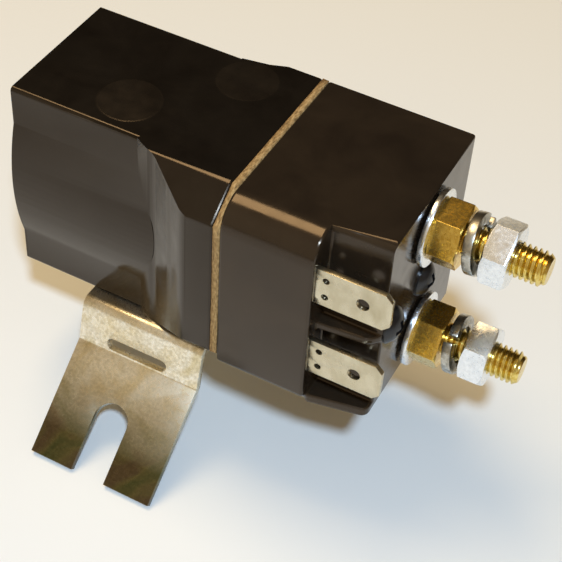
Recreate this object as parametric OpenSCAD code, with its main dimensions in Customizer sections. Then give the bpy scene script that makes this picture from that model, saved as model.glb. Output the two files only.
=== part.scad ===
// DC contactor with two stud terminals, two coil tabs and a yellow-passivated foot bracket.
// The long axis is X with the studs pointing to +X. The bracket feet stand on Z = 0.
// Modules are drawn about the gasket plane and the coil axis, then placed by stand().
// All lengths are in millimetres.

/* [Coil housing] */

// Length of the coil housing from the gasket to its closed end
coil_len = 36.4; // [35.5:0.1:44]
// Width of the coil housing across its flat side strips
coil_w = 23.5; // [23:0.1:26]
// Height of the roof above the coil axis
roof_h = 16.5; // [16.2:0.1:19]
// Depth of the coil housing floor below the coil axis
floor_d = 16.9; // [16.6:0.1:19]
// How far the curved side panels bulge beyond the flat strips
bulge = 1.6; // [1.2:0.1:2.2]
// Height of the flat strip above and below each curved panel
strip_h = 6.3; // [5:0.1:7.5]
// Distance from the gasket to the end of the curved panels
bulge_setback = 12.9; // [12:0.1:17]
// Radius of the long outside edges
edge_r = 0.7; // [0.3:0.1:1.1]
// Wall between the coil chamber and the flat side strips
side_wall = 1.0; // [0.8:0.05:1.4]
// Thickness of the roof of the coil housing
roof_wall = 1.3; // [1:0.1:1.8]
// Thickness of the floor of the coil housing
floor_wall = 1.7; // [1.4:0.1:2]
// Thickness of the closed end
end_wall = 1.6; // [1.2:0.1:2.4]

/* [Flange and gasket] */

// Thickness of the fibre gasket
gasket_t = 1.0; // [0.6:0.1:1.6]
// Reach of the flange on the side of the coil tabs
wing_reach = 18.1; // [17.8:0.1:20]
// Reach of the flange on the plain side
far_reach = 13.5; // [13.2:0.1:15]
// Length of the ramp that rises to the flange
ramp_len = 11.4; // [10:0.1:12]
// Length of the flat rim of the flange
rim_len = 4.1; // [3.6:0.1:5]
// Length of the low ramp on the plain side
far_ramp_len = 6.6; // [5:0.1:8]
// Length of the flat rim on the plain side
far_rim_len = 5.5; // [4:0.1:6.5]
// Width of the sloped corners of the flange
corner_w = 5.1; // [4:0.1:5.6]
// Drop of the upper sloped corner
corner_top = 3.9; // [3:0.1:5]
// Rise of the lower sloped corner
corner_low = 5.1; // [4:0.1:6]

/* [Contact housing] */

// Length of the contact housing from the gasket to its terminal face
contact_len = 22.9; // [22.6:0.1:26]
// Depth of the contact housing floor below the coil axis
contact_floor = 15.1; // [14.9:0.1:16.4]
// Radius of the upper edge on the tab side
shoulder_r = 4.6; // [3.6:0.1:5]
// Size of the sloped lower edge on the tab side
heel = 2.2; // [1.4:0.1:2.6]
// Wall of the arc chamber at top and bottom
chamber_wall = 1.5; // [1.2:0.1:1.6]
// Half width of the arc chamber
chamber_half_w = 10.4; // [10:0.1:10.8]
// Thickness of the terminal end wall
terminal_wall = 6.9; // [6.6:0.1:8]
// Depth of the tab recess along the body
recess_len = 8.9; // [8.2:0.1:9.6]
// Distance of the recess back wall from the coil axis
recess_back = 13.35; // [13.2:0.05:13.6]
// Height of the divider rib top above the coil axis
rib_top = 0.3; // [0:0.1:0.8]
// Thickness of the divider rib
rib_t = 1.3; // [1:0.1:1.8]
// Reach of the rib from the recess back wall at its inner end
rib_reach = 2.35; // [1.8:0.05:2.6]
// How much the front of the rib falls back towards its tip
rib_fall = 0.7; // [0:0.1:1]
// Thickness of the shelf that closes the recess below
shelf_t = 1.7; // [1.2:0.1:2.2]
// Reach of the shelf from the recess back wall at its inner end
shelf_reach = 3.65; // [3:0.05:4.2]
// How much the front of the shelf falls back towards its tip
shelf_fall = 1.8; // [1:0.1:2.2]
// Wall between the tab ducts and the arc chamber
duct_wall = 0.8; // [0.6:0.05:1]

/* [Studs and terminal hardware] */

// Distance between the two stud terminals
stud_pitch = 20; // [19.6:0.1:20.1]
// Thread diameter of the studs
stud_d = 5; // [4.5:0.1:5.2]
// Length of stud beyond the terminal nut
stud_free = 4.85; // [4:0.05:7]
// How much shorter the lower stud stands
lower_short = 0.35; // [0:0.05:0.8]
// Chamfer at the stud tip
tip_chamfer = 0.5; // [0.3:0.1:0.8]
// Thickness of the sealing ring on each stud
seal_t = 0.35; // [0.2:0.05:0.8]
// Diameter of the sealing ring
seal_d = 8.6; // [7.5:0.1:9.5]
// Diameter of the flat washer
washer_d = 11.5; // [10.5:0.1:12]
// Thickness of the flat washer
washer_t = 0.8; // [0.6:0.1:1.2]
// Width across the flats of the hexagon nuts
nut_af = 8.5; // [8:0.1:9]
// Height of the brass nuts
brass_nut_h = 4.1; // [3.6:0.1:4.6]
// Height of the zinc terminal nuts
zinc_nut_h = 3.75; // [3.2:0.05:4.2]
// Corner chamfer of the nuts
nut_chamfer = 0.6; // [0.2:0.05:0.8]
// Room kept on the stud for the loose spring washer
lock_room = 3.35; // [3.2:0.05:4.5]
// Outside diameter of the spring washer
lock_d = 8.9; // [8.6:0.1:9.2]
// Hole of the spring washer
lock_hole = 5.55; // [5.5:0.05:5.6]
// Thickness of the spring washer
lock_t = 1.4; // [1.1:0.1:1.5]
// Opening of the spring washer
lock_split = 0.9; // [0.6:0.1:1.4]
// Lean of the loose spring washers
lock_lean = 8.5; // [0:0.5:9]

/* [Coil tabs] */

// Height of the blade of each coil tab
tab_h = 6.3; // [6.2:0.1:6.4]
// Thickness of the coil tabs
tab_t = 0.8; // [0.7:0.05:0.9]
// Reach of the tabs beyond the recess wall
tab_out = 10.9; // [9.5:0.1:12]
// Length of the tabs held inside the housing
tab_in = 5.2; // [4.4:0.1:6]
// Distance of the front face of the tabs from the coil axis
tab_face = 16.9; // [16.6:0.05:16.95]
// Height of the upper tab above the coil axis
tab_high = 8.4; // [8:0.1:9]
// Depth of the lower tab below the coil axis
tab_low = 5.3; // [5:0.1:6]
// Diameter of the latch hole in a tab
tab_hole_d = 1.9; // [1.6:0.1:2.2]
// Distance of the latch hole from the tip of a tab
tab_hole_in = 4.05; // [3.5:0.05:5]
// Diameter of the two small staking holes
stake_d = 1.0; // [0.8:0.1:1.2]
// Distance between the staking holes
stake_pitch = 2.94; // [2.6:0.02:3.2]
// Distance of the staking holes from the recess wall
stake_out = 1.4; // [1.2:0.1:2]
// Corner chamfer at the tip of a tab
tab_corner = 1.0; // [0.6:0.1:1.4]

/* [Foot bracket] */

// Thickness of the bracket sheet
sheet_t = 1.2; // [1:0.1:1.4]
// Width of the bracket along the body
bracket_w = 21; // [18:0.5:22]
// Distance from the gasket plane to the bracket
bracket_setback = 3.6; // [3:0.1:5]
// Distance of each fold from the coil axis
fold_y = 14.5; // [13.6:0.1:16]
// Length of the steep strip below the fold
drop_len = 7.4; // [7.2:0.1:9]
// Slope of the steep strip below the horizontal
drop_a = 76; // [72:1:84]
// Length of the sloping ear
ear_len = 18.9; // [17:0.1:22]
// Slope of the ear below the horizontal
ear_a = 40.5; // [36:0.5:44]
// Inside radius of the bends
bend_r = 0.6; // [0.4:0.1:0.8]
// Width of the open foot slot
foot_slot_w = 5.8; // [5:0.1:6.4]
// Distance from the bend to the closed end of the foot slot
foot_slot_in = 7.0; // [6:0.1:8]
// Distance of the foot slot from the gasket plane
foot_slot_x = 14.4; // [13.5:0.1:15]
// Length of the relief slot at the bend
relief_len = 10.5; // [9:0.1:12]
// Height of the relief slot
relief_h = 2.0; // [1.6:0.1:2.2]
// Distance of the relief slot centre from the fold
relief_drop = 6.0; // [5.8:0.1:6.2]
// Distance between the bracket screws
bracket_screw_pitch = 11; // [9:0.1:12]

/* [Screws] */

// Thread diameter of the small screws
screw_d = 3; // [2.6:0.1:3.2]
// Head diameter of the small screws
head_d = 5.5; // [5.2:0.1:5.8]
// Head height of the small screws
head_h = 1.7; // [1.4:0.1:2]
// Width of the cross recess in each head
drive_w = 0.7; // [0.5:0.1:0.9]
// Depth of the cross recess in each head
drive_depth = 0.8; // [0.5:0.1:1]
// Distance of the housing screws from the coil axis
screw_y = 10.5; // [10.3:0.1:10.6]
// Radius of the screw bosses
boss_r = 2.6; // [2.4:0.1:2.7]
// Length of thread in the coil housing
screw_bite = 5.2; // [4.6:0.1:5.8]

/* [Magnet] */

// Thickness of the yoke steel
yoke_t = 2.0; // [1.6:0.1:2.1]
// Half width of the yoke
yoke_half_w = 8.6; // [7.8:0.1:9]
// Distance from the gasket to the pole plate
pole_setback = 4.5; // [4.2:0.1:5]
// Half width of the pole plate
pole_half_w = 7.5; // [6.5:0.1:7.7]
// Radius of the moving plunger
plunger_r = 4; // [3.6:0.1:4.4]
// Length of the moving plunger
plunger_len = 16.5; // [15:0.1:17.5]
// Thickness of the rubber rest pad
pad_t = 0.6; // [0.5:0.1:1]
// Stroke of the plunger
stroke = 2.2; // [2:0.05:2.4]
// Wall of the brass guide sleeve
sleeve_wall = 0.45; // [0.35:0.05:0.6]
// Wall of the bobbin barrel
barrel_wall = 0.75; // [0.6:0.05:1]
// Thickness of the bobbin flanges
bobbin_flange_t = 1.2; // [1:0.1:1.5]
// Free ring between winding and bobbin rim
winding_inset = 0.5; // [0.3:0.1:0.9]
// Diameter of the lead wires
lead_d = 1.1; // [0.8:0.1:1.2]

/* [Contact set] */

// Radius of the push rod
rod_r = 1.2; // [1:0.05:1.3]
// Length of push rod held in the plunger
rod_grip = 4; // [3:0.1:6]
// Radius of the insulating carrier sleeve
carrier_r = 2.0; // [1.9:0.05:2.2]
// Radius of the carrier flange
carrier_flange_r = 4.6; // [4:0.1:4.8]
// Thickness of the carrier flange
carrier_flange_t = 0.9; // [0.7:0.1:1.2]
// Thickness of the bridge bar
bridge_t = 1.6; // [1.2:0.1:1.8]
// Half width of the bridge bar
bridge_half_w = 4; // [3.4:0.1:4.4]
// How far the bridge bar reaches beyond each stud axis
bridge_over = 3.0; // [2.6:0.1:3.3]
// Open gap between the contact tips
contact_gap = 1.5; // [1.3:0.05:1.6]
// Radius of the contact tips
tip_r = 2.8; // [2.2:0.1:2.9]
// Thickness of the contact tips
tip_t = 0.8; // [0.6:0.1:1]
// Thickness of the stud heads
stud_head_t = 3.6; // [3.2:0.1:3.8]
// Height of the stud heads
stud_head_h = 7; // [6.4:0.1:7]
// Width of the stud heads
stud_head_w = 10; // [8:0.1:10.4]
// Air between the upper stud head and the roof of the arc chamber
head_room = 1.5; // [0.6:0.1:2]
// Air between the lower stud head and the floor of the arc chamber
head_clear = 0.1; // [0.1:0.05:0.4]
// Thickness of the bridge clip
clip_t = 0.7; // [0.5:0.1:0.8]
// Radius of the bridge clip
clip_r = 3.1; // [2.8:0.1:3.4]
// Half thickness of the arc barrier
barrier_half = 1.2; // [1:0.1:1.5]
// Length of the contact spring
contact_spring_len = 4.2; // [4:0.1:4.6]
// Wire diameter of the springs
wire_d = 0.6; // [0.5:0.05:0.7]
// Depth of the return spring pocket in the fixed core
pocket_depth = 4.5; // [4:0.1:5.5]

/* [Hidden] */

$fn = 64;
// Clearance for parts that only have to go together
fit = 0.05;
// Air left between parts at the end of the stroke
air = 0.05;
// Overrun of every cut past the face it opens
over = 0.6;
// Clearance round a screw or a wire
loose = 0.1;
// Gap between the carrier flange and the barrier cheeks
fit_side = 0.6;
// Room round the bobbin in its chamber
bobbin_gap = 0.2;
// Rise of the ramp to the flange, as shares of its length and height
ramp_shares = [[0, 0], [0.13, 0.13], [0.2, 0.19], [0.28, 0.228], [0.35, 0.29],
    [0.421, 0.378], [0.579, 0.575], [0.719, 0.732], [0.82, 0.855], [0.89, 0.935], [0.95, 0.98], [1, 1]];
// Rise of the low ramp on the plain side
far_ramp_shares = [[0, 0], [0.6, 0.42], [1, 1]];
// Radius of the thread inside the nuts, as a share of the stud radius
pitch_share = 0.896;
// Slope of the corner chamfer of the nuts, in degrees
chamfer_a = 30;
// Turn of each hexagon nut about its stud, in degrees
brass_turns = [6.3, 0.6];
zinc_turns = [34.4, 14.9];
// Turn of the spring washer openings about their studs, in degrees
split_turns = [205, 128];
bend_steps = 8;
// Straight rim of a screw head, as a share of its height
rim_share = 0.15;
spring_ring_steps = 20;
spring_sides = 8;
return_turns = 6;
contact_turns = 4;

face = gasket_t / 2;
coil_end = -face - coil_len;
end_x = face + contact_len;
seal_x = end_x + seal_t;
washer_x = seal_x + washer_t;
brass_x = washer_x + brass_nut_h;
zinc_x = brass_x + lock_room;
zinc_end = zinc_x + zinc_nut_h;
stud_tip = zinc_end + stud_free;
stud_r = stud_d / 2;
pitch_r = stud_r * pitch_share;
stud_z = stud_pitch / 2;
coil_half = coil_w / 2;
bulge_half = (roof_h + floor_d) / 2 - strip_h;
bulge_mid = (roof_h - floor_d) / 2;
bulge_r = (bulge_half * bulge_half + bulge * bulge) / 2 / bulge;
recess_x = end_x - recess_len;
screw_r = screw_d / 2;
chamber_top = roof_h - chamber_wall;
chamber_bottom = contact_floor - chamber_wall;
high_contact = chamber_top - head_room - stud_head_h / 2;
low_contact = chamber_bottom - head_clear - stud_head_h / 2;
wall_x = end_x - terminal_wall;
duct_far = chamber_half_w + duct_wall;
duct_end = recess_x - tab_in + stake_out;

sleeve_r = plunger_r + fit + sleeve_wall;
bore_r = sleeve_r + fit;
barrel_r = bore_r + barrel_wall;
yoke_top = roof_h - roof_wall;
yoke_bottom = floor_d - floor_wall;
bobbin_r = min(coil_half - side_wall, yoke_top - yoke_t, yoke_bottom - yoke_t) - bobbin_gap;
winding_r = bobbin_r - winding_inset;
yoke_x = coil_end + end_wall;
yoke_face = yoke_x + yoke_t;
pole_end = -face - pole_setback;
pole_x = pole_end - yoke_t;
plunger_x = yoke_face + pad_t + air;
plunger_end = plunger_x + plunger_len;
core_x = plunger_end + stroke + air;

head_x = wall_x - stud_head_t;
fixed_tip_x = head_x - tip_t;
bridge_tip_end = fixed_tip_x - contact_gap - air;
bridge_end = bridge_tip_end - tip_t;
bridge_x = bridge_end - bridge_t;
carrier_x = bridge_x - contact_spring_len - carrier_flange_t;
sleeve_end = bridge_end + clip_t + clip_t;
rod_end = sleeve_end;
rod_x0 = plunger_end - rod_grip;
barrier_x = rod_end + stroke + loose * 2;

fold_r = bend_r + sheet_t;
turn_a = drop_a - ear_a;
fold_point = [fold_y, -floor_d];
bend_point = fold_point + drop_len * ray(-drop_a);
foot_point = bend_point + ear_len * ray(-ear_a);
fold_mid = [fold_y - fold_r * tan(drop_a / 2), -floor_d - fold_r];
bend_mid = bend_point - bend_r * tan(turn_a / 2) * ray(-drop_a) + bend_r * ray(90 - drop_a);
sole_point = foot_point + sheet_t * ray(-90 - ear_a);
ground = -sole_point[1];
mid_x = (stud_tip + coil_end) / 2;
bracket_x = -bracket_setback - bracket_w;

function ray(a) = [cos(a), sin(a)];
function arc_points(mid, r, from, to) =
    [for (i = [0 : bend_steps]) mid + r * ray(from + (to - from) * i / bend_steps)];
function backwards(list) = [for (i = [len(list) - 1 : -1 : 0]) list[i]];

module stand() {
    translate([-mid_x, 0, ground]) children();
}

// A round bar along X from one station to another
module bar_x(r, from, to) {
    translate([from, 0, 0]) rotate([0, 90, 0]) cylinder(h = to - from, r = r);
}

// A cone along X
module cone_x(r_from, r_to, from, to) {
    translate([from, 0, 0]) rotate([0, 90, 0]) cylinder(h = to - from, r1 = r_from, r2 = r_to);
}

// A profile in the YZ plane drawn out along X
module along_x(from, to) {
    translate([from, 0, 0]) rotate([90, 0, 90]) linear_extrude(to - from) children();
}

module block(x, y, z) {
    translate([x[0], y[0], z[0]]) cube([x[1] - x[0], y[1] - y[0], z[1] - z[0]]);
}

module at_studs() {
    translate([0, 0, stud_z]) children();
    translate([0, 0, -stud_z]) children();
}

module at_contacts() {
    translate([0, 0, high_contact]) children();
    translate([0, 0, -low_contact]) children();
}

// Section of the coil housing without the curved panels
module coil_section(half, top, bottom, r) {
    translate([-half + r, -bottom]) square([half * 2 - r * 2, top + bottom]);
    translate([-half, -bottom + r]) square([half * 2, top + bottom - r * 2]);
    for (y = [-half + r, half - r]) {
        translate([y, top - r]) circle(r = r);
        translate([y, -bottom + r]) circle(r = r);
    }
}

// One curved side panel
module panel_section() {
    for (side = [0, 1]) mirror([side, 0]) intersection() {
        translate([coil_half + bulge - bulge_r, bulge_mid]) circle(r = bulge_r, $fn = 160);
        translate([0, bulge_mid - bulge_half]) square([coil_half + bulge * 2, bulge_half * 2]);
    }
}

// Outline of the flange, also used by the gasket
module flange_section() {
    polygon([[-wing_reach + corner_w, roof_h], [-wing_reach, roof_h - corner_top],
        [-wing_reach, -floor_d + corner_low], [-wing_reach + corner_w, -floor_d],
        [far_reach, -floor_d], [far_reach, roof_h]]);
}

module flange_plan() {
    near = [for (s = ramp_shares) [-face - rim_len - ramp_len * (1 - s[0]),
        -coil_half - (wing_reach - coil_half) * s[1]]];
    far = [for (s = far_ramp_shares) [-face - far_rim_len - far_ramp_len * (1 - s[0]),
        coil_half + (far_reach - coil_half) * s[1]]];
    polygon(concat(near, [[-face, -wing_reach], [-face, far_reach]], backwards(far)));
}

module coil_chamber() {
    bar_x(bobbin_r + bobbin_gap, yoke_x, pole_end);
    block([yoke_x, over - face], [-yoke_half_w - fit, yoke_half_w + fit], [-yoke_bottom, yoke_top]);
}

// Passage in the flange that brings the coil leads to the tabs
module lead_passage() {
    block([-face - rim_len - over, over - face], [-tab_face + tab_t * 2, -pole_half_w],
        [tab_high - tab_h / 2, tab_high + tab_h / 2]);
    block([-face - rim_len - over, over - face], [-tab_face + tab_t * 2, -pole_half_w],
        [-tab_low - tab_h / 2, -tab_low + tab_h / 2]);
    block([pole_x - fit, -face - rim_len], [-bobbin_r, -pole_half_w],
        [tab_high - tab_h / 2, tab_high + tab_h / 2 - corner_top / 2]);
    block([pole_x - fit, -face - rim_len], [-bobbin_r, -pole_half_w],
        [-tab_low - tab_h / 2, -tab_low + tab_h / 2]);
}

module coil_housing() {
    color("#18181b") stand() difference() {
        union() {
            along_x(coil_end, -face) coil_section(coil_half, roof_h, floor_d, edge_r);
            along_x(coil_end, -face - bulge_setback) panel_section();
            intersection() {
                along_x(coil_end, -face) flange_section();
                translate([0, 0, -floor_d]) linear_extrude(roof_h + floor_d) flange_plan();
            }
        }
        coil_chamber();
        lead_passage();
        for (y = [-screw_y, screw_y]) {
            translate([0, y, 0]) bar_x(screw_r + fit, -face - screw_bite - fit, over - face);
        }
        bracket_screw_places() bar_z(screw_r + loose, -floor_d - over, -yoke_bottom + over);
    }
}

module bar_z(r, from, to) {
    translate([0, 0, from]) cylinder(h = to - from, r = r);
}

module bracket_screw_places() {
    for (x = [-bracket_screw_pitch / 2, bracket_screw_pitch / 2]) {
        translate([-foot_slot_x + x, 0, 0]) children();
    }
}

module gasket() {
    color("#a98a63") stand() difference() {
        along_x(-face, face) flange_section();
        block([-face - over, face + over], [-yoke_half_w, yoke_half_w], [-chamber_bottom, chamber_top]);
        for (y = [-screw_y, screw_y]) {
            translate([0, y, 0]) bar_x(screw_r + loose, -face - over, face + over);
        }
        for (z = [tab_high, -tab_low]) {
            block([-face - over, face + over], [-tab_face + tab_t * 2, -duct_far],
                [z - tab_h / 2, z + tab_h / 2]);
        }
    }
}

// Section of the contact housing with its rounded shoulder and sloped heel
module contact_section() {
    difference() {
        translate([-wing_reach, -contact_floor]) square([wing_reach + far_reach, roof_h + contact_floor]);
        difference() {
            translate([-wing_reach - over, roof_h - shoulder_r]) square(shoulder_r + over);
            translate([-wing_reach + shoulder_r, roof_h - shoulder_r]) circle(r = shoulder_r);
            translate([-wing_reach + shoulder_r, roof_h - shoulder_r - over]) square(shoulder_r + over * 2);
        }
        polygon([[-wing_reach - over, -contact_floor - over], [-wing_reach + heel + over, -contact_floor - over],
            [-wing_reach - over, -contact_floor + heel + over]]);
    }
}

module contact_housing() {
    color("#141417") stand() difference() {
        union() {
            along_x(face, recess_x) contact_section();
            block([recess_x, end_x], [-recess_back, far_reach], [-contact_floor, roof_h]);
            translate([0, 0, rib_top - rib_t]) linear_extrude(rib_t) polygon([[recess_x, -recess_back],
                [recess_x, -recess_back - rib_reach],
                [end_x - rib_t, -recess_back - rib_reach + rib_fall], [end_x, -recess_back]]);
            translate([0, 0, -contact_floor]) linear_extrude(shelf_t) polygon([[recess_x, -recess_back],
                [recess_x, -recess_back - shelf_reach],
                [end_x, -recess_back - shelf_reach + shelf_fall], [end_x, -recess_back]]);
        }
        difference() {
            block([face - over, wall_x], [-chamber_half_w, chamber_half_w], [-chamber_bottom, chamber_top]);
            for (y = [-screw_y, screw_y]) {
                translate([0, y, 0]) bar_x(boss_r, face, wall_x + over);
                block([face, wall_x + over], [min(y, y * 2), max(y, y * 2)], [-boss_r, boss_r]);
            }
        }
        for (z = [tab_high, -tab_low]) {
            block([face - over, duct_end], [-tab_face, -duct_far], [z - tab_h / 2, z + tab_h / 2]);
            block([duct_end - over, recess_x + over], [-tab_face, -tab_face + tab_t + fit],
                [z - tab_h / 2, z + tab_h / 2]);
        }
        at_studs() bar_x(stud_r + fit, wall_x - over, end_x + over);
        for (y = [-screw_y, screw_y]) {
            translate([0, y, 0]) bar_x(screw_r + loose, face - over, end_x + over);
        }
        bar_x(screw_r + loose, wall_x - over, end_x + over);
    }
}

// A pan-head screw along -X from its head seat, with a cross recess
module pan_screw(seat, reach) {
    rim = head_h * rim_share;
    rise = head_h - rim;
    dome_r = (head_d * head_d / 4 + rise * rise) / 2 / rise;
    dome_a = asin(head_d / 2 / dome_r);
    dome = arc_points([0, head_h - dome_r], dome_r, 90 - dome_a, 90);
    bar_x(screw_r, seat - reach, seat);
    difference() {
        translate([seat, 0, 0]) rotate([0, 90, 0])
            rotate_extrude() polygon(concat([[0, 0], [head_d / 2, 0]], dome));
        for (a = [0, 90]) rotate([a, 0, 0])
            block([seat + head_h - drive_depth, seat + head_h + over],
                [-head_d / 4, head_d / 4], [-drive_w / 2, drive_w / 2]);
    }
}

module housing_screws() {
    color("#101012") stand() for (y = [-screw_y, screw_y]) {
        translate([0, y, 0]) pan_screw(end_x, contact_len + gasket_t + screw_bite);
    }
}

module barrier_screw() {
    color("#101012") stand() pan_screw(end_x, end_x - barrier_x - fit);
}

module bracket_screws() {
    color("#b7b9bc") stand() bracket_screw_places()
        translate([0, 0, -floor_d - sheet_t]) rotate([0, 90, 0]) pan_screw(0, sheet_t + floor_wall + yoke_t);
}

module bracket_half() {
    polygon(concat([[0, -floor_d]], arc_points(fold_mid, fold_r, 90, 90 - drop_a),
        arc_points(bend_mid, bend_r, -90 - drop_a, -90 - ear_a), [foot_point, sole_point],
        arc_points(bend_mid, bend_r + sheet_t, -90 - ear_a, -90 - drop_a),
        arc_points(fold_mid, bend_r, 90 - drop_a, 90), [[0, -floor_d - sheet_t]]));
}

// The relief slot and the open foot slot on one side
module ear_cuts() {
    translate([-foot_slot_x, fold_point[0], fold_point[1]]) rotate([-drop_a, 0, 0])
        translate([0, relief_drop, -fold_r - over]) linear_extrude(fold_r * 2 + over * 2) {
            square([relief_len - relief_h, relief_h], center = true);
            for (x = [-1, 1]) translate([x * (relief_len - relief_h) / 2, 0]) circle(r = relief_h / 2);
        }
    translate([-foot_slot_x, bend_point[0], bend_point[1]]) rotate([-ear_a, 0, 0])
        translate([0, foot_slot_in + foot_slot_w / 2, -sheet_t - over])
            linear_extrude(sheet_t + over * 2) {
                circle(r = foot_slot_w / 2);
                translate([-foot_slot_w / 2, 0]) square([foot_slot_w, ear_len]);
            }
}

module foot_bracket() {
    color("#c9a447") stand() difference() {
        for (side = [0, 1]) mirror([0, side, 0]) along_x(bracket_x, bracket_x + bracket_w) bracket_half();
        for (side = [0, 1]) mirror([0, side, 0]) ear_cuts();
        bracket_screw_places() bar_z(screw_r + loose, -floor_d - sheet_t - over, -floor_d + over);
    }
}

// A stud with its square head in the arc chamber, thinner where a nut is on its thread
module stud(z, contact_z, tip) {
    union() {
        translate([0, 0, z]) {
            bar_x(stud_r, wall_x, washer_x);
            bar_x(pitch_r, washer_x, brass_x);
            bar_x(stud_r, brass_x, zinc_x);
            bar_x(pitch_r, zinc_x, zinc_end);
            bar_x(stud_r, zinc_end, tip - tip_chamfer);
            cone_x(stud_r, stud_r - tip_chamfer, tip - tip_chamfer, tip);
        }
        block([head_x, wall_x], [-stud_head_w / 2, stud_head_w / 2],
            [contact_z - stud_head_h / 2, contact_z + stud_head_h / 2]);
    }
}

module upper_stud() {
    color("#c79a4b") stand() stud(stud_z, high_contact, stud_tip);
}

module lower_stud() {
    color("#c79a4b") stand() stud(-stud_z, -low_contact, stud_tip - lower_short);
}

module ring_x(r, hole_r, from, to) {
    difference() {
        bar_x(r, from, to);
        bar_x(hole_r, from - over, to + over);
    }
}

module stud_seal_rings() {
    color("#1c1c1e") stand() at_studs() ring_x(seal_d / 2, stud_r + fit, end_x, seal_x);
}

module flat_washers() {
    color("#c4c6c9") stand() at_studs() ring_x(washer_d / 2, stud_r + loose, seal_x, washer_x);
}

// A hexagon nut with turned corners
module hex_nut(from, h, turn) {
    corner = nut_af / sqrt(3);
    lead_in = nut_chamfer * tan(chamfer_a);
    difference() {
        intersection() {
            rotate([turn, 0, 0]) translate([from, 0, 0]) rotate([0, 90, 0]) rotate([0, 0, 90])
                cylinder(h = h, r = corner, $fn = 6);
            union() {
                cone_x(corner - nut_chamfer, corner, from, from + lead_in);
                bar_x(corner, from + lead_in, from + h - lead_in);
                cone_x(corner, corner - nut_chamfer, from + h - lead_in, from + h);
            }
        }
        bar_x(pitch_r + fit, from - over, from + h + over);
    }
}

module brass_nuts() {
    color("#cfa24f") stand() {
        translate([0, 0, stud_z]) hex_nut(washer_x, brass_nut_h, brass_turns[0]);
        translate([0, 0, -stud_z]) hex_nut(washer_x, brass_nut_h, brass_turns[1]);
    }
}

module terminal_nuts() {
    color("#c2c4c8") stand() {
        translate([0, 0, stud_z]) hex_nut(zinc_x, zinc_nut_h, zinc_turns[0]);
        translate([0, 0, -stud_z]) hex_nut(zinc_x, zinc_nut_h, zinc_turns[1]);
    }
}

// A split ring leaning loosely on the stud between the two nuts
module spring_washer(split) {
    translate([(brass_x + zinc_x) / 2, 0, 0]) rotate([0, -lock_lean, 0]) difference() {
        ring_x(lock_d / 2, lock_hole / 2, -lock_t / 2, lock_t / 2);
        rotate([split, 0, 0]) block([-lock_t, lock_t], [0, lock_d], [-lock_split / 2, lock_split / 2]);
    }
}

module upper_spring_washer() {
    color("#8f8a7c") stand() translate([0, 0, stud_z]) spring_washer(split_turns[0]);
}

module lower_spring_washer() {
    color("#8f8a7c") stand() translate([0, 0, -stud_z]) spring_washer(split_turns[1]);
}

// A blade terminal with a latch hole and two staking holes
module coil_tab(z) {
    translate([0, -tab_face, z]) rotate([-90, 0, 0]) linear_extrude(tab_t) difference() {
        polygon([[recess_x - tab_in, -tab_h / 2], [recess_x + tab_out - tab_corner, -tab_h / 2],
            [recess_x + tab_out, -tab_h / 2 + tab_corner], [recess_x + tab_out, tab_h / 2 - tab_corner],
            [recess_x + tab_out - tab_corner, tab_h / 2], [recess_x - tab_in, tab_h / 2]]);
        translate([recess_x + tab_out - tab_hole_in, 0]) circle(r = tab_hole_d / 2);
        for (y = [-stake_pitch / 2, stake_pitch / 2]) translate([recess_x + stake_out, y]) circle(r = stake_d / 2);
    }
}

module upper_coil_tab() {
    color("#c9cbce") stand() coil_tab(tab_high);
}

module lower_coil_tab() {
    color("#c9cbce") stand() coil_tab(-tab_low);
}

// A round wire through a list of points, with the bends mitred
module wire_path(points, r) {
    last = len(points) - 1;
    rings = [for (i = [0 : last]) let (
            run = points[min(i + 1, last)] - points[max(i - 1, 0)],
            across = cross(run, [0, 0, 1]),
            u = across / norm(across),
            v = cross(u, run) / norm(run))
        for (k = [0 : spring_sides - 1]) let (b = 360 * k / spring_sides)
            points[i] + r * cos(b) * u + r * sin(b) * v];
    tube(rings, last);
}

// The skin of a tube whose rings are listed one after another
module tube(rings, steps) {
    sides = [for (i = [0 : steps - 1]) for (k = [0 : spring_sides - 1]) let (n = (k + 1) % spring_sides)
        [i * spring_sides + k, i * spring_sides + n, (i + 1) * spring_sides + n, (i + 1) * spring_sides + k]];
    first = [for (k = [spring_sides - 1 : -1 : 0]) k];
    last = [for (k = [0 : spring_sides - 1]) steps * spring_sides + k];
    polyhedron(points = rings, faces = concat(sides, [first, last]), convexity = 8);
}

module coil_lead(z, z_in) {
    lead_r = lead_d / 2;
    wire_path([[recess_x - tab_in + lead_d, -tab_face + tab_t + lead_r, z],
        [face + lead_d, -recess_back + lead_d, z],
        [-face - lead_d, -recess_back + lead_d, z],
        [-face - rim_len + lead_d, -bobbin_r + lead_d * 2, z_in],
        [pole_x, -bobbin_r + lead_d * 2, z_in]], lead_r);
}

module upper_coil_lead() {
    color("#b3402a") stand() coil_lead(tab_high, tab_high - tab_h / 2 + lead_d / 2 + loose);
}

module lower_coil_lead() {
    color("#b3402a") stand() coil_lead(-tab_low, -tab_low);
}

module yoke_frame() {
    color("#8d9095") stand() difference() {
        union() {
            block([yoke_x, yoke_face], [-yoke_half_w, yoke_half_w], [-yoke_bottom, yoke_top]);
            block([yoke_x, pole_end], [-yoke_half_w, yoke_half_w], [yoke_top - yoke_t, yoke_top]);
            block([yoke_x, pole_end], [-yoke_half_w, yoke_half_w], [-yoke_bottom, -yoke_bottom + yoke_t]);
        }
        bracket_screw_places() bar_z(screw_r + fit, -yoke_bottom - over, -yoke_bottom + yoke_t + over);
    }
}

module pole_plate() {
    color("#8d9095") stand() difference() {
        block([pole_x, pole_end], [-pole_half_w, pole_half_w], [-yoke_bottom + yoke_t, yoke_top - yoke_t]);
        bar_x(plunger_r + fit, pole_x - over, pole_end + over);
    }
}

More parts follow.
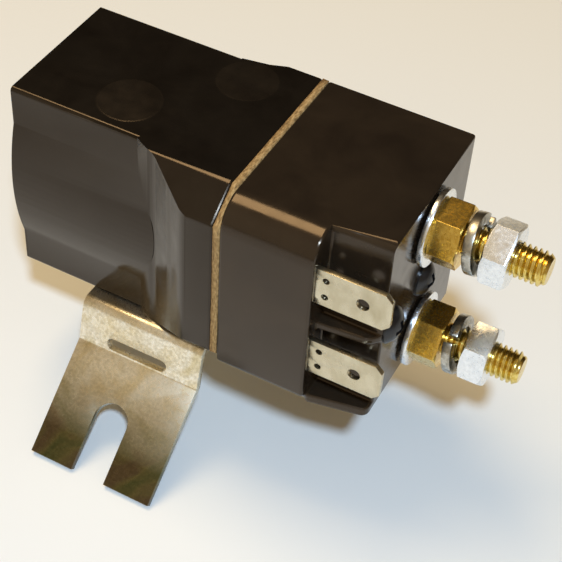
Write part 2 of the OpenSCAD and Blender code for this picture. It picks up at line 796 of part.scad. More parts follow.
module fixed_core() {
    color("#9a9da1") stand() difference() {
        bar_x(plunger_r, core_x, pole_end);
        bar_x(rod_r + fit, core_x - over, pole_end + over);
        bar_x(rod_r + wire_d + wire_d, core_x - over, core_x + pocket_depth);
    }
}

module plunger() {
    color("#9a9da1") stand() difference() {
        bar_x(plunger_r, plunger_x, plunger_end);
        bar_x(rod_r, rod_x0, plunger_end + over);
    }
}

module guide_sleeve() {
    color("#c79a4b") stand() ring_x(sleeve_r, plunger_r + fit, yoke_face, pole_x);
}

module rest_pad() {
    color("#222222") stand() bar_x(plunger_r - pad_t, yoke_face, yoke_face + pad_t);
}

module coil_bobbin() {
    color("#e6dfcd") stand() difference() {
        union() {
            bar_x(barrel_r, yoke_face, pole_x);
            bar_x(bobbin_r, yoke_face, yoke_face + bobbin_flange_t);
            bar_x(bobbin_r, pole_x - bobbin_flange_t, pole_x);
        }
        bar_x(bore_r, yoke_face - over, pole_x + over);
    }
}

module coil_winding() {
    color("#a4542a") stand() ring_x(winding_r, barrel_r + fit, yoke_face + bobbin_flange_t, pole_x - bobbin_flange_t);
}

// A closed tube wound about X, with the wire ends closed flat
module wound_wire(r, wire_r, from, to, turns) {
    steps = turns * spring_ring_steps;
    run = to - from - wire_r * 2;
    rings = [for (i = [0 : steps]) let (a = 360 * i / spring_ring_steps, x = from + wire_r + run * i / steps)
        for (k = [0 : spring_sides - 1]) let (b = 360 * k / spring_sides, q = r + wire_r * cos(b))
            [x + wire_r * sin(b), q * cos(a), q * sin(a)]];
    tube(rings, steps);
}

module return_spring() {
    color("#b9bbbe") stand()
        wound_wire(rod_r + wire_d, wire_d / 2, plunger_end, core_x + pocket_depth, return_turns);
}

module push_rod() {
    color("#c0c2c5") stand() bar_x(rod_r, rod_x0, rod_end);
}

module contact_carrier() {
    color("#3a3a3e") stand() difference() {
        union() {
            bar_x(carrier_flange_r, carrier_x, carrier_x + carrier_flange_t);
            bar_x(carrier_r, carrier_x, sleeve_end);
        }
        bar_x(rod_r, carrier_x - over, sleeve_end + over);
    }
}

module contact_spring() {
    color("#b9bbbe") stand()
        wound_wire(carrier_r + wire_d, wire_d / 2, carrier_x + carrier_flange_t, bridge_x, contact_turns);
}

module bridge_clip() {
    color("#a7a9ac") stand() ring_x(clip_r, carrier_r, bridge_end, bridge_end + clip_t);
}

module contact_bridge() {
    color("#b8703d") stand() difference() {
        block([bridge_x, bridge_end], [-bridge_half_w, bridge_half_w],
            [-low_contact - bridge_over, high_contact + bridge_over]);
        bar_x(carrier_r + fit, bridge_x - over, bridge_end + over);
    }
}

module bridge_tips() {
    color("#d5d6d8") stand() at_contacts() bar_x(tip_r, bridge_end, bridge_tip_end);
}

module fixed_tips() {
    color("#d5d6d8") stand() at_contacts() bar_x(tip_r, fixed_tip_x, head_x);
}

// A web between the stud heads with two cheeks beside the bridge
module arc_barrier() {
    color("#efe9dc") stand() difference() {
        union() {
            block([barrier_x, wall_x], [-screw_y + boss_r, screw_y - boss_r], [-barrier_half, barrier_half]);
            for (side = [0, 1]) mirror([0, side, 0]) block([carrier_x, wall_x],
                [carrier_flange_r + fit_side, screw_y - boss_r], [-barrier_half, barrier_half]);
            bar_x(boss_r + bobbin_gap, barrier_x, wall_x);
        }
        bar_x(screw_r, barrier_x - over, wall_x + over);
    }
}

coil_housing();
contact_housing();
gasket();
foot_bracket();
bracket_screws();
housing_screws();
barrier_screw();
upper_stud();
lower_stud();
stud_seal_rings();
flat_washers();
brass_nuts();
upper_spring_washer();
lower_spring_washer();
terminal_nuts();
upper_coil_tab();
lower_coil_tab();
upper_coil_lead();
lower_coil_lead();
yoke_frame();
pole_plate();
fixed_core();
plunger();
guide_sleeve();
rest_pad();
coil_bobbin();
coil_winding();
return_spring();
push_rod();
contact_carrier();
contact_spring();
bridge_clip();
contact_bridge();
bridge_tips();
fixed_tips();
arc_barrier();
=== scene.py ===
"""Looks of the DC contactor: moulded housings, plated sheet, turned brass and zinc hardware."""

import math

import bmesh
import bpy
from mathutils import Matrix, Vector, noise


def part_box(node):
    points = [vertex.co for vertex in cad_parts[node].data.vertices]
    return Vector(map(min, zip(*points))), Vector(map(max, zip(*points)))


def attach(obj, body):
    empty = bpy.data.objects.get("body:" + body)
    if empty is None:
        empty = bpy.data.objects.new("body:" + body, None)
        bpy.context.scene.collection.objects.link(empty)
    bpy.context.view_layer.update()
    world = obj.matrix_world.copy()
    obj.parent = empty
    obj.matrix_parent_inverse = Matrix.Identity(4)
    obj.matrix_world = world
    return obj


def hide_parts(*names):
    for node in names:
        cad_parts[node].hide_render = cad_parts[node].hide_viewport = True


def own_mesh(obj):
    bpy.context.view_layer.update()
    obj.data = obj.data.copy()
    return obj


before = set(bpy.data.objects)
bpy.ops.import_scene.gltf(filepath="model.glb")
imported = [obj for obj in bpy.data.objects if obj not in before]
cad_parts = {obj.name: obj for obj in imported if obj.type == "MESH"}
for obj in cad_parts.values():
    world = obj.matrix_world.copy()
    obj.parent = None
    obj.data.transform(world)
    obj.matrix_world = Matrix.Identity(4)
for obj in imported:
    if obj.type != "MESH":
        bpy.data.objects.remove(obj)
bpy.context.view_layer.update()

MM = 0.001
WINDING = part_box("coil_winding")
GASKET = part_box("gasket")
AXIS_Z = (WINDING[0].z + WINDING[1].z) / 2
GASKET_X = (GASKET[0].x + GASKET[1].x) / 2

ROOF = 16.5
STUD_PITCH = 20.0
STUD_RADIUS = 2.5
THREAD_PITCH = 0.8
THREAD_DEPTH = 0.46


def spot(x, y, z):
    """A place given in millimetres from the gasket plane and the coil axis."""
    return Vector((GASKET_X + x * MM, y * MM, AXIS_Z + z * MM))


def in_mm(v):
    """The reverse of spot: millimetres from the gasket plane and the coil axis."""
    return Vector(((v.x - GASKET_X) / MM, v.y / MM, (v.z - AXIS_Z) / MM))


# Materials

def linear(code):
    """An sRGB hex colour as linear RGBA."""
    parts = [int(code[i:i + 2], 16) / 255 for i in (1, 3, 5)]
    return [c / 12.92 if c <= 0.04045 else ((c + 0.055) / 1.055) ** 2.4 for c in parts] + [1.0]


def add(tree, kind, settings=None, links=None):
    """Adds a node, sets its properties and inputs, and links its inputs."""
    node = tree.nodes.new(kind)
    for key, value in (settings or {}).items():
        if isinstance(key, str) and hasattr(node, key):
            setattr(node, key, value)
        else:
            node.inputs[key].default_value = value
    for key, source in (links or {}).items():
        tree.links.new(source, node.inputs[key])
    return node


def ramp(tree, source, stops):
    """A colour ramp with (place, colour) stops."""
    node = add(tree, "ShaderNodeValToRGB", links={"Fac": source})
    marks = node.color_ramp.elements
    while len(marks) < len(stops):
        marks.new(0.5)
    for mark, (place, colour) in zip(marks, stops):
        mark.position = place
        mark.color = colour if isinstance(colour, (list, tuple)) else (colour, colour, colour, 1)
    return node


def start(name):
    """A new material with its shader and the object coordinates."""
    material = bpy.data.materials.new(name)
    material.use_nodes = True
    tree = material.node_tree
    shader = tree.nodes["Principled BSDF"]
    coords = add(tree, "ShaderNodeTexCoord").outputs["Object"]
    return material, tree, shader, coords


def grain(tree, coords, size_mm, detail, stretch=None, distortion=0.0):
    """Noise whose features are about size_mm across."""
    if stretch:
        coords = add(tree, "ShaderNodeMapping", {"Scale": stretch}, {"Vector": coords}).outputs[0]
    return add(tree, "ShaderNodeTexNoise",
               {"Scale": 1.0 / (size_mm * MM), "Detail": detail, "Distortion": distortion},
               {"Vector": coords}).outputs["Fac"]


def bump(tree, shader, height, depth_mm, strength, after=None):
    """Relief of depth_mm on the shader, laid over an earlier bump if there is one."""
    links = {"Height": height}
    if after:
        links["Normal"] = after.outputs[0]
    node = add(tree, "ShaderNodeBump", {"Strength": strength, "Distance": depth_mm * MM}, links)
    tree.links.new(node.outputs[0], shader.inputs["Normal"])
    return node


MARK_RIM = 0.15


def disc_mask(tree, coords, x, y, radius):
    """One inside a round ejector mark on the roof, fading to nothing across its rim."""
    flat = add(tree, "ShaderNodeMapping", {"Scale": (1, 1, 0)}, {"Vector": coords}).outputs[0]
    middle = spot(x, y, 0)
    away = add(tree, "ShaderNodeVectorMath", {"operation": "DISTANCE", 1: (middle.x, middle.y, 0)}, {0: flat})
    inside = add(tree, "ShaderNodeMapRange",
                 {"From Min": (radius + MARK_RIM) * MM, "From Max": (radius - MARK_RIM) * MM},
                 {"Value": away.outputs["Value"]})
    height = add(tree, "ShaderNodeSeparateXYZ", links={0: coords}).outputs["Z"]
    level = spot(0, 0, ROOF).z
    on_top = add(tree, "ShaderNodeMapRange", {"From Min": level - 0.4 * MM, "From Max": level - 0.2 * MM},
                 {"Value": height})
    return add(tree, "ShaderNodeMath", {"operation": "MULTIPLY"},
               {0: inside.outputs[0], 1: on_top.outputs[0]}).outputs[0]


def moulded_thermoset(name, base, warm, marks=()):
    """Glossy dark thermoset: brown-black under a hard polish, faint flow clouds, haze and ejector marks."""
    material, tree, shader, coords = start(name)
    clouds = grain(tree, coords, 9, 4, distortion=0.6)
    haze = grain(tree, coords, 2.2, 5)
    tint = ramp(tree, clouds, [(0.3, linear(base)), (0.75, linear(warm))])
    tree.links.new(tint.outputs[0], shader.inputs["Base Color"])
    rough = ramp(tree, haze, [(0.3, 0.12), (0.7, 0.22)]).outputs[0]
    ripple = grain(tree, coords, 5, 2)
    last = bump(tree, shader, ripple, 0.05, 0.35)
    last = bump(tree, shader, grain(tree, coords, 0.5, 3), 0.01, 0.25, last)
    for x, y, radius, depth_mm in marks:
        disc = disc_mask(tree, coords, x, y, radius)
        last = bump(tree, shader, disc, depth_mm, 0.6, last)
        dulled = add(tree, "ShaderNodeMath", {"operation": "MULTIPLY_ADD", 1: 0.12}, {0: disc, 2: rough})
        rough = dulled.outputs[0]
    tree.links.new(rough, shader.inputs["Roughness"])
    shader.inputs["IOR"].default_value = 1.5
    shader.inputs["Specular Tint"].default_value = linear("#ffe6cc")
    return material


def pressed_fibre(name):
    """Vegetable-fibre gasket: dry tan board with darker fibres and a torn edge."""
    material, tree, shader, coords = start(name)
    fibres = grain(tree, coords, 0.45, 6, stretch=(1.6, 0.6, 0.6))
    tone = ramp(tree, fibres, [(0.25, linear("#5f4826")), (0.5, linear("#9a7a4a")), (0.8, linear("#c9a873"))])
    tree.links.new(tone.outputs[0], shader.inputs["Base Color"])
    shader.inputs["Roughness"].default_value = 0.9
    bump(tree, shader, fibres, 0.15, 0.9)
    return material


# Heights above the floor, in millimetres, where the darker olive and brown tint begins and is full
TINT_FROM = 11.5
TINT_FULL = 4


def yellow_passivated_zinc(name):
    """Zinc under a thin chromate film: pale silvery gold, fine grain, darker olive and brown towards the
    feet.
    """
    material, tree, shader, coords = start(name)
    drift = grain(tree, coords, 10, 3, distortion=1.4)
    speckle = grain(tree, coords, 0.5, 5)
    pale = ramp(tree, drift, [(0.3, linear("#e0d3b0")), (0.5, linear("#f6f0e0")), (0.7, linear("#eadcba"))])
    tint = ramp(tree, drift, [(0.35, linear("#39451d")), (0.5, linear("#5f582a")), (0.65, linear("#54452f"))])
    height = add(tree, "ShaderNodeSeparateXYZ", links={0: coords}).outputs["Z"]
    # Darkens the finish towards the feet, by height above the floor
    low = add(tree, "ShaderNodeMapRange",
              {"From Min": TINT_FROM * MM, "From Max": TINT_FULL * MM, "To Max": 0.95}, {"Value": height})
    feet_tint = add(tree, "ShaderNodeMix", {"data_type": "RGBA", "blend_type": "MIX"},
               {0: low.outputs[0], 6: pale.outputs[0], 7: tint.outputs[0]})
    shade = ramp(tree, speckle, [(0.35, linear("#cfcabd")), (0.6, linear("#ffffff"))])
    grainy = add(tree, "ShaderNodeMix", {"data_type": "RGBA", "blend_type": "MULTIPLY", "Factor": 0.6},
                 {6: feet_tint.outputs[2], 7: shade.outputs[0]})
    tree.links.new(grainy.outputs[2], shader.inputs["Base Color"])
    shader.inputs["Metallic"].default_value = 1.0
    rough = ramp(tree, speckle, [(0.3, 0.36), (0.7, 0.24)])
    tree.links.new(rough.outputs[0], shader.inputs["Roughness"])
    first = bump(tree, shader, speckle, 0.015, 0.6)
    bump(tree, shader, grain(tree, coords, 6, 2), 0.1, 0.4, first)
    return material


def plated_metal(name, pale, dark, low, high, size_mm, depth_mm, stretch=None):
    """Bright metal whose finish varies from pale to dark at one grain size."""
    material, tree, shader, coords = start(name)
    mottle = grain(tree, coords, size_mm, 4, stretch=stretch)
    tone = ramp(tree, mottle, [(0.3, linear(dark)), (0.7, linear(pale))])
    tree.links.new(tone.outputs[0], shader.inputs["Base Color"])
    shader.inputs["Metallic"].default_value = 1.0
    rough = ramp(tree, mottle, [(0.3, high), (0.7, low)])
    tree.links.new(rough.outputs[0], shader.inputs["Roughness"])
    bump(tree, shader, mottle, depth_mm, 0.5)
    return material


def plain_plastic(name, base, other, roughness, size_mm):
    """Moulded or sleeved plastic with a slight mottle."""
    material, tree, shader, coords = start(name)
    mottle = grain(tree, coords, size_mm, 3)
    tone = ramp(tree, mottle, [(0.3, linear(base)), (0.7, linear(other))])
    tree.links.new(tone.outputs[0], shader.inputs["Base Color"])
    shader.inputs["Roughness"].default_value = roughness
    bump(tree, shader, mottle, 0.01, 0.4)
    return material


WIRE_RING = 0.6


def wound_copper(name):
    """Enamelled wire wound in layers: fine rings of painted shade between the turns and painted highlight on
    them, drawn wider than the wire so that they show.
    """
    material, tree, shader, coords = start(name)
    rings = add(tree, "ShaderNodeTexWave",
                {"wave_type": "BANDS", "bands_direction": "X", "Scale": 1.0 / (WIRE_RING * MM) / math.tau,
                 "Distortion": 0.4},
                {"Vector": coords}).outputs["Fac"]
    # The dark bands are painted shade between the turns, the bright bands painted highlight
    tone = ramp(tree, rings, [(0.1, linear("#5a2410")), (0.8, linear("#c46a35"))])
    tree.links.new(tone.outputs[0], shader.inputs["Base Color"])
    shader.inputs["Roughness"].default_value = 0.3
    shader.inputs["Metallic"].default_value = 0.6
    bump(tree, shader, rings, 0.1, 0.8)
    return material


# Ejector marks on the coil housing's roof: place along and across, radius and relief
EJECTOR_MARKS = ((-21.2, -5.2, 4.75, 0.08), (-9.35, 7.2, 4.6, 0.04))

# Near-black gloss on the coil housing, a shade browner on the contact housing
COIL_THERMOSET = moulded_thermoset("glossy_black_thermoset", "#0e0b08", "#191510", EJECTOR_MARKS)
CONTACT_THERMOSET = moulded_thermoset("glossy_brown_black_thermoset", "#1f1811", "#2b2218")
FIBRE = pressed_fibre("pressed_tan_fibre")
GOLD_ZINC = yellow_passivated_zinc("yellow_passivated_zinc")
# Cool near-white plate with soft blotches
BRIGHT_ZINC = plated_metal("bright_zinc_plate", "#f6f9fc", "#e2e7ec", 0.2, 0.3, 0.6, 0.008)
# Warm yellow turned faces, and a paler, brighter rolled thread
BRASS = plated_metal("turned_brass", "#f4d473", "#d6ac4a", 0.21, 0.32, 0.5, 0.01)
STUD_BRASS = plated_metal("rolled_thread_brass", "#f2df8e", "#d2b04e", 0.16, 0.28, 0.5, 0.01)
# Duller and greyer than the nuts
SPRING_STEEL = plated_metal("dull_zinc_spring_steel", "#cfccc2", "#8f8a7d", 0.22, 0.4, 0.8, 0.01)
# Cream-silver tin with long soft streaks
TINNED_BRASS = plated_metal("tinned_brass_blade", "#d6cdb4", "#bbb093", 0.2, 0.36, 2.4, 0.008, (1, 1, 0.5))
# Grey iron, white silver and orange copper inside the housings
SOFT_IRON = plated_metal("nickel_plated_iron", "#a9adb1", "#80848a", 0.3, 0.45, 1.5, 0.01)
SILVER = plated_metal("silver_alloy", "#dcdcda", "#bdbcb8", 0.25, 0.4, 0.7, 0.01)
COPPER = plated_metal("bare_copper_bar", "#d08a5c", "#a35f38", 0.25, 0.4, 2.0, 0.01)
# Screws with a satin black skin, then the matt, moulded and sleeved plastics
BLACK_OXIDE = plain_plastic("black_oxide_steel", "#08080a", "#131316", 0.28, 0.6)
RUBBER = plain_plastic("black_rubber", "#101011", "#1a1a1a", 0.75, 0.4)
NYLON = plain_plastic("cream_nylon", "#d8cfb6", "#e6dfcb", 0.45, 1.5)
PHENOLIC = plain_plastic("dark_phenolic", "#231f1e", "#35302d", 0.4, 1.0)
SLEEVE = plain_plastic("red_wire_sleeve", "#8c2017", "#a53022", 0.4, 0.8)
ENAMEL = wound_copper("enamelled_copper_winding")

CARRIED = {
    "housing_screws": BLACK_OXIDE, "barrier_screw": BLACK_OXIDE, "bracket_screws": BRIGHT_ZINC,
    "stud_seal_rings": RUBBER, "upper_coil_lead": SLEEVE, "lower_coil_lead": SLEEVE,
    "yoke_frame": SOFT_IRON, "pole_plate": SOFT_IRON, "fixed_core": SOFT_IRON, "plunger": SOFT_IRON,
    "guide_sleeve": BRASS, "rest_pad": RUBBER, "coil_bobbin": NYLON, "coil_winding": ENAMEL,
    "push_rod": SPRING_STEEL, "contact_carrier": PHENOLIC, "bridge_clip": SPRING_STEEL,
    "contact_bridge": COPPER, "bridge_tips": SILVER, "fixed_tips": SILVER, "arc_barrier": NYLON,
}
for node_name, finish in CARRIED.items():
    node_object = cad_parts[node_name]
    node_object.data.materials.clear()
    node_object.data.materials.append(finish)


# Pieces


def finish_piece(name, mesh_edit, finish, nodes, sharp, body="root"):
    """Turns a bmesh into a piece that stands for the named nodes and rides on their body."""
    mesh = bpy.data.meshes.new(name)
    bmesh.ops.recalc_face_normals(mesh_edit, faces=mesh_edit.faces)
    mesh_edit.to_mesh(mesh)
    mesh_edit.free()
    mesh.shade_smooth()
    mesh.set_sharp_from_angle(angle=math.radians(sharp))
    mesh.materials.append(finish)
    piece = bpy.data.objects.new(name, mesh)
    bpy.context.scene.collection.objects.link(piece)
    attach(piece, body)
    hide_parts(*nodes)
    return piece


def merged_copy(node_name, flat_deg=0.6):
    """The node's mesh with its doubles merged and its flat faces joined."""
    edit = bmesh.new()
    edit.from_mesh(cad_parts[node_name].data)
    bmesh.ops.remove_doubles(edit, verts=edit.verts, dist=1e-6)
    bmesh.ops.dissolve_limit(edit, angle_limit=math.radians(flat_deg), verts=edit.verts, edges=edit.edges,
                             use_dissolve_boundaries=False, delimit=set())
    return edit


def round_edges(edit, radius_mm, pick, least_deg, segments, clamp=True):
    """Bevels the edges that are sharp enough and whose middle passes pick."""
    edges = [e for e in edit.edges if len(e.link_faces) == 2
             and e.calc_face_angle(0) > math.radians(least_deg)
             and pick(in_mm((e.verts[0].co + e.verts[1].co) / 2), e)]
    bmesh.ops.bevel(edit, geom=edges, offset=radius_mm * MM, offset_type="OFFSET", segments=segments,
                    profile=0.5, affect="EDGES", material=-1, clamp_overlap=clamp)


def everywhere(middle, edge):
    """True on every edge."""
    return True


# Anything beyond these places is on the coil housing's outside
COIL_SIDE = 11.2
COIL_ROOF = 15.9
COIL_FLOOR = -16.3
COIL_END = -36.4
COIL_EDGE = 2.5
HOUSING_ROUND = 0.4


def outside(middle, edge):
    """True on the long outer edges of the coil housing."""
    outer = abs(middle.y) > COIL_SIDE or middle.z > COIL_ROOF or middle.z < COIL_FLOOR or middle.x < COIL_END
    return outer and edge.calc_length() > COIL_EDGE * MM


# The near curved panel: where it ends, the side it stands out from, and the run-out for so much of a step
PANEL_END = -13.4
PANEL_FOOT = -13.05
PANEL_STEP = 0.3
RUN_OUT = 0.8

coil = merged_copy("coil_housing")
# The end of the near curved panel runs out on the ramp instead of ending in a small step
for vert in coil.verts:
    place = in_mm(vert.co)
    if abs(place.x - PANEL_END) < 0.05 and place.y < PANEL_FOOT:
        vert.co.x += RUN_OUT * (PANEL_FOOT - place.y) / PANEL_STEP * MM
round_edges(coil, HOUSING_ROUND, outside, 30.0, 3, False)
finish_piece("coil_housing_shell", coil, COIL_THERMOSET, ["coil_housing"], 14.0)


# Anything beyond these places is on the contact housing's outside; the shoulder's own edges are short
CONTACT_NEAR = -13.2
CONTACT_FAR = 13.0
CONTACT_ROOF = 16.0
CONTACT_FLOOR = -14.6
TERMINAL_FACE = 22.9
CONTACT_EDGE = 0.7
SHOULDER = -13.6
SHOULDER_EDGE = 0.2


def outside_contact(middle, edge):
    """True on the long outer edges of the contact housing, in the tab recess and along the shoulder."""
    outer = (middle.y < CONTACT_NEAR or middle.y > CONTACT_FAR or middle.z > CONTACT_ROOF
             or middle.z < CONTACT_FLOOR or middle.x > TERMINAL_FACE)
    shortest = SHOULDER_EDGE if middle.y < SHOULDER else CONTACT_EDGE
    return outer and edge.calc_length() > shortest * MM


RECESS_BACK = -13.35
BROW_ROUND = 1.2
# The outer corners of the rib and the shelf lie beyond the first two places and below the third
TONGUE_NEAR = -13.4
TONGUE_END = 20
TONGUE_TOP = 1
TONGUE_ROUND = 1.0


def recess_brow(middle, edge):
    """True on the top edge of the tab recess."""
    return abs(middle.y - RECESS_BACK) < 0.1 and abs(middle.z - ROOF) < 0.1 and edge.calc_length() > MM


def tongue_tip(middle, edge):
    """True on the upright outer corners of the rib and the shelf."""
    upright = abs(edge.verts[0].co.z - edge.verts[1].co.z) > 0.9 * edge.calc_length()
    return upright and middle.y < TONGUE_NEAR and middle.x > TONGUE_END and middle.z < TONGUE_TOP


contact = merged_copy("contact_housing")
round_edges(contact, BROW_ROUND, recess_brow, 60.0, 5, False)
round_edges(contact, TONGUE_ROUND, tongue_tip, 20.0, 4, False)
round_edges(contact, HOUSING_ROUND, outside_contact, 30.0, 3, False)
finish_piece("contact_housing_shell", contact, CONTACT_THERMOSET, ["contact_housing"], 14.0)

# The torn edge of the gasket: where it begins, how deep and how fine it is, the shift that takes it
# inwards, and the cuts in a long edge
TORN_SIDE = 12.6
TORN_TOP = 15.9
TORN_DEPTH = 0.08
TORN_PER_METRE = 900
TORN_SHIFT = 0.9
TORN_CUTS = 14

board = merged_copy("gasket")
long_edges = [e for e in board.edges if e.calc_length() > 4 * MM]
bmesh.ops.subdivide_edges(board, edges=long_edges, cuts=TORN_CUTS)
for vert in board.verts:
    rough = (noise.noise(vert.co * TORN_PER_METRE) - TORN_SHIFT) * TORN_DEPTH * MM
    if abs(in_mm(vert.co).y) > TORN_SIDE or abs(in_mm(vert.co).z) > TORN_TOP:
        outward = Vector((0, vert.co.y, vert.co.z - AXIS_Z)).normalized()
        vert.co += outward * rough
bmesh.ops.triangulate(board, faces=board.faces)
finish_piece("fibre_gasket", board, FIBRE, ["gasket"], 60.0)


def sheet_piece(name, node_name, finish, radius_mm):
    """A stamped piece whose cut edges are slightly broken."""
    edit = merged_copy(node_name)
    round_edges(edit, radius_mm, everywhere, 40.0, 2)
    finish_piece(name, edit, finish, [node_name], 30.0)


def hexagon_nuts(name, node_name, finish, radius_mm):
    """Two nuts whose corners and chamfers are slightly rounded."""
    edit = merged_copy(node_name)
    round_edges(edit, radius_mm, everywhere, 25.0, 3)
    finish_piece(name, edit, finish, [node_name], 9.0)


sheet_piece("folded_foot_bracket", "foot_bracket", GOLD_ZINC, 0.12)
sheet_piece("upper_tinned_blade", "upper_coil_tab", TINNED_BRASS, 0.12)
sheet_piece("lower_tinned_blade", "lower_coil_tab", TINNED_BRASS, 0.12)
sheet_piece("zinc_flat_washers", "flat_washers", BRIGHT_ZINC, 0.1)
hexagon_nuts("brass_hexagon_nuts", "brass_nuts", BRASS, 0.12)
hexagon_nuts("zinc_hexagon_nuts", "terminal_nuts", BRIGHT_ZINC, 0.16)


# The thread begins inside the terminal wall, and the tip is turned to a short cone
SHANK_FROM = 16.5
CREST, FLANK, ROOT = 0.14, 0.34, 0.18
CONE_LENGTH = 0.75
CONE_SLOPE = 0.8
THREAD_STEPS = 40


def threaded_stud(name, node_name, level):
    """A stud with a rolled thread on its outer length and a plain rectangular head inside."""
    low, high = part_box(node_name)
    tip = in_mm(high).x
    shape = bmesh.new()
    profile = ((0, 0), (CREST, 0), (CREST + FLANK, THREAD_DEPTH), (CREST + FLANK + ROOT, THREAD_DEPTH))
    count = int((tip - SHANK_FROM) / THREAD_PITCH) + 4
    x = SHANK_FROM - 1.5 * THREAD_PITCH
    chain = []
    for _ in range(count):
        for dx, depth in profile:
            chain.append(shape.verts.new(spot(x + dx, 0, level + STUD_RADIUS - depth)))
        x += THREAD_PITCH
    for a, b in zip(chain, chain[1:]):
        shape.edges.new((a, b))
    centre = spot(0, 0, level)
    bmesh.ops.spin(shape, geom=shape.verts[:] + shape.edges[:], cent=centre, axis=(1, 0, 0),
                   dvec=(THREAD_PITCH * MM / THREAD_STEPS, 0, 0), angle=math.tau, steps=THREAD_STEPS,
                   use_merge=False)
    bmesh.ops.remove_doubles(shape, verts=shape.verts, dist=0.02 * MM)
    for place, normal in ((SHANK_FROM, (-1, 0, 0)), (tip, (1, 0, 0))):
        cut = bmesh.ops.bisect_plane(shape, geom=shape.verts[:] + shape.edges[:] + shape.faces[:],
                                     plane_co=spot(place, 0, level), plane_no=normal, clear_outer=True)
        rim = [e for e in cut["geom_cut"] if isinstance(e, bmesh.types.BMEdge)]
        bmesh.ops.edgeloop_fill(shape, edges=rim)
    # The tip's cone trims the crests
    for vert in shape.verts:
        place = in_mm(vert.co)
        arm = Vector((place.y, place.z - level))
        limit = STUD_RADIUS - max(0.0, place.x - (tip - CONE_LENGTH)) * CONE_SLOPE
        if arm.length > limit:
            arm *= limit / arm.length
            vert.co = spot(place.x, arm.x, level + arm.y)
    head = bmesh.ops.create_cube(shape, size=1.0)["verts"]
    size = Vector((spot(SHANK_FROM, 0, 0).x - low.x, high.y - low.y, high.z - low.z))
    bmesh.ops.scale(shape, vec=size, verts=head)
    bmesh.ops.translate(shape, vec=low + size / 2, verts=head)
    finish_piece(name, shape, STUD_BRASS, [node_name], 35.0)


threaded_stud("upper_threaded_stud", "upper_stud", STUD_PITCH / 2)
threaded_stud("lower_threaded_stud", "lower_stud", -STUD_PITCH / 2)


WASHER_INNER = 2.78
WASHER_OUTER = 4.45
WASHER_HALF = 0.68
WASHER_EDGE = 0.12
WASHER_GAP_DEG = 14
WASHER_RISE = 0.4
WASHER_TILT_DEG = 8.5
WASHER_STEPS = 60


def split_washer(name, node_name, opening_deg):
    """A helical spring washer of rectangular wire, open at one side and leaning on its stud."""
    low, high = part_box(node_name)
    middle = (low + high) / 2
    corners = ((-WASHER_HALF, WASHER_INNER), (WASHER_HALF, WASHER_INNER),
               (WASHER_HALF, WASHER_OUTER), (-WASHER_HALF, WASHER_OUTER))
    sweep = math.tau - math.radians(WASHER_GAP_DEG)
    shape = bmesh.new()
    section = [shape.verts.new(Vector((x * MM, 0, r * MM))) for x, r in corners]
    shape.faces.new(section)
    bmesh.ops.rotate(shape, verts=shape.verts, cent=(0, 0, 0),
                     matrix=Matrix.Rotation(math.radians(opening_deg + WASHER_GAP_DEG / 2), 3, "X"))
    bmesh.ops.translate(shape, verts=shape.verts, vec=(-WASHER_RISE / 2 * MM, 0, 0))
    first = shape.faces[:]
    bmesh.ops.spin(shape, geom=first, cent=(0, 0, 0), axis=(1, 0, 0),
                   dvec=(WASHER_RISE * MM / WASHER_STEPS, 0, 0), angle=sweep, steps=WASHER_STEPS,
                   use_merge=False)
    bmesh.ops.remove_doubles(shape, verts=shape.verts, dist=0.001 * MM)
    bmesh.ops.holes_fill(shape, edges=[e for e in shape.edges if e.is_boundary], sides=8)
    bmesh.ops.recalc_face_normals(shape, faces=shape.faces)
    edges = [e for e in shape.edges if len(e.link_faces) == 2 and e.calc_face_angle(0) > math.radians(50)]
    bmesh.ops.bevel(shape, geom=edges, offset=WASHER_EDGE * MM, offset_type="OFFSET", segments=2,
                    profile=0.5, affect="EDGES", material=-1)
    bmesh.ops.rotate(shape, verts=shape.verts, cent=(0, 0, 0),
                     matrix=Matrix.Rotation(math.radians(-WASHER_TILT_DEG), 3, "Y"))
    bmesh.ops.translate(shape, verts=shape.verts, vec=middle)
    finish_piece(name, shape, SPRING_STEEL, [node_name], 35.0)


split_washer("upper_split_washer", "upper_spring_washer", -60)
split_washer("lower_split_washer", "lower_spring_washer", 40)


def pressed_spring(name, node_name, body):
    """A coil spring on its body, with a mesh of its own."""
    spring = finish_piece(name, merged_copy(node_name, 0.05), SPRING_STEEL, [node_name], 40.0, body)
    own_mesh(spring)


pressed_spring("plunger_return_spring", "return_spring", "root")
pressed_spring("bridge_contact_spring", "contact_spring", "armature")


# Stage, light and camera

CAMERA_AT = spot(67.2307, -139.8739, 143.4275)
CAMERA_TURN = (44.73418, -2.88697, 28.14192)
FOCAL_MM = 92.9988
SENSOR_MM = 36
LENS_SHIFT = 0.00196
FLOOR_PALE = "#ecedea"
FLOOR_WARM_LIGHT = "#ebe8dc"
# Places across, in metres, between which painted warm light on the table fades in
WARM_LIGHT_FROM = -0.05
WARM_LIGHT_FULL = 0.16


def pale_floor():
    """A wide pale table with painted warm light towards the back; its tone fills the background."""
    floor_mesh = bmesh.new()
    bmesh.ops.create_grid(floor_mesh, x_segments=1, y_segments=1, size=3.0)
    mesh = bpy.data.meshes.new("table_top")
    floor_mesh.to_mesh(mesh)
    floor_mesh.free()
    table_top = bpy.data.objects.new("table_top", mesh)
    bpy.context.scene.collection.objects.link(table_top)
    material, tree, shader, coords = start("pale_table")
    split = add(tree, "ShaderNodeSeparateXYZ", links={0: coords})
    back = add(tree, "ShaderNodeMapRange", {"From Min": WARM_LIGHT_FROM, "From Max": WARM_LIGHT_FULL},
               {"Value": split.outputs["Y"]})
    # The warm end of this ramp is painted warm light, not the table's own tone
    tone = ramp(tree, back.outputs[0], [(0.0, linear(FLOOR_PALE)), (1.0, linear(FLOOR_WARM_LIGHT))])
    tree.links.new(tone.outputs[0], shader.inputs["Base Color"])
    shader.inputs["Roughness"].default_value = 0.85
    mesh.materials.append(material)


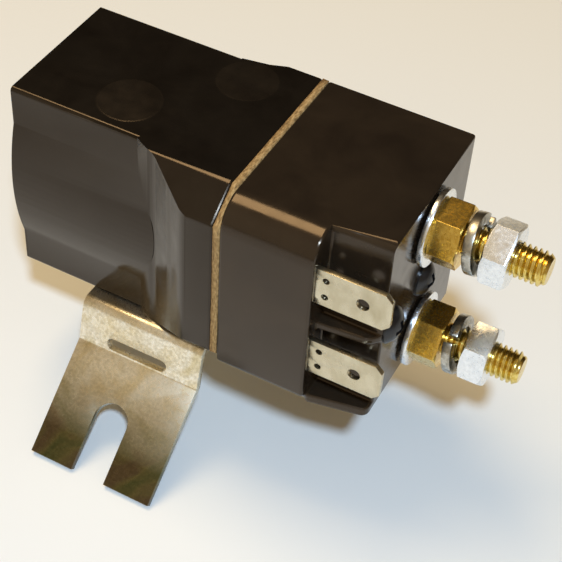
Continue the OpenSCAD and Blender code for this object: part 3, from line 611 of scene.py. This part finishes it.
def area_light(name, place, aim, size, power, colour):
    """A round lamp of the given width in metres, turned to its aim."""
    lamp = bpy.data.lights.new(name, "AREA")
    lamp.shape = "DISK"
    lamp.size = size
    lamp.energy = power
    lamp.color = linear(colour)[:3]
    holder = bpy.data.objects.new(name, lamp)
    holder.location = place
    holder.rotation_euler = (aim - place).to_track_quat("-Z", "Y").to_euler()
    bpy.context.scene.collection.objects.link(holder)


pale_floor()
# Where the lamps are aimed, and where they stand
MIDDLE = spot(0, 0, -8)
FLASH_AT = MIDDLE + Vector((0.39, -0.62, 1.0)) * 0.42
LAMP_AT = MIDDLE + Vector((-0.22, 0.04, 0.66))
area_light("cool_flash_above_the_lens", FLASH_AT, MIDDLE, 0.04, 2.35, "#c4e0ff")
area_light("warm_ceiling_lamp", LAMP_AT, MIDDLE, 0.36, 2.5, "#ffe2b2")


def warm_room():
    """A warm dim room that is brighter on the side of the lens and dark behind the part."""
    world = bpy.data.worlds.new("room")
    bpy.context.scene.world = world
    world.use_nodes = True
    tree = world.node_tree
    coords = add(tree, "ShaderNodeTexCoord").outputs["Generated"]
    split = add(tree, "ShaderNodeSeparateXYZ", links={0: coords})
    side = add(tree, "ShaderNodeMapRange", {"From Min": -0.75, "From Max": 0.65},
               {"Value": split.outputs["Y"]})
    tone = ramp(tree, side.outputs[0],
                [(0.0, linear("#ffe9c4")), (0.45, linear("#c9ab80")), (1.0, linear("#4a3d2c"))])
    backdrop = tree.nodes["Background"]
    tree.links.new(tone.outputs[0], backdrop.inputs["Color"])
    backdrop.inputs["Strength"].default_value = 0.55


warm_room()

lens = bpy.data.cameras.new("camera")
lens.lens = FOCAL_MM
lens.sensor_width = SENSOR_MM
lens.shift_x = LENS_SHIFT
lens.clip_start = 0.01
camera = bpy.data.objects.new("camera", lens)
camera.location = CAMERA_AT
camera.rotation_euler = [math.radians(a) for a in CAMERA_TURN]
bpy.context.scene.collection.objects.link(camera)
bpy.context.scene.camera = camera
bpy.context.scene.view_settings.view_transform = "Standard"
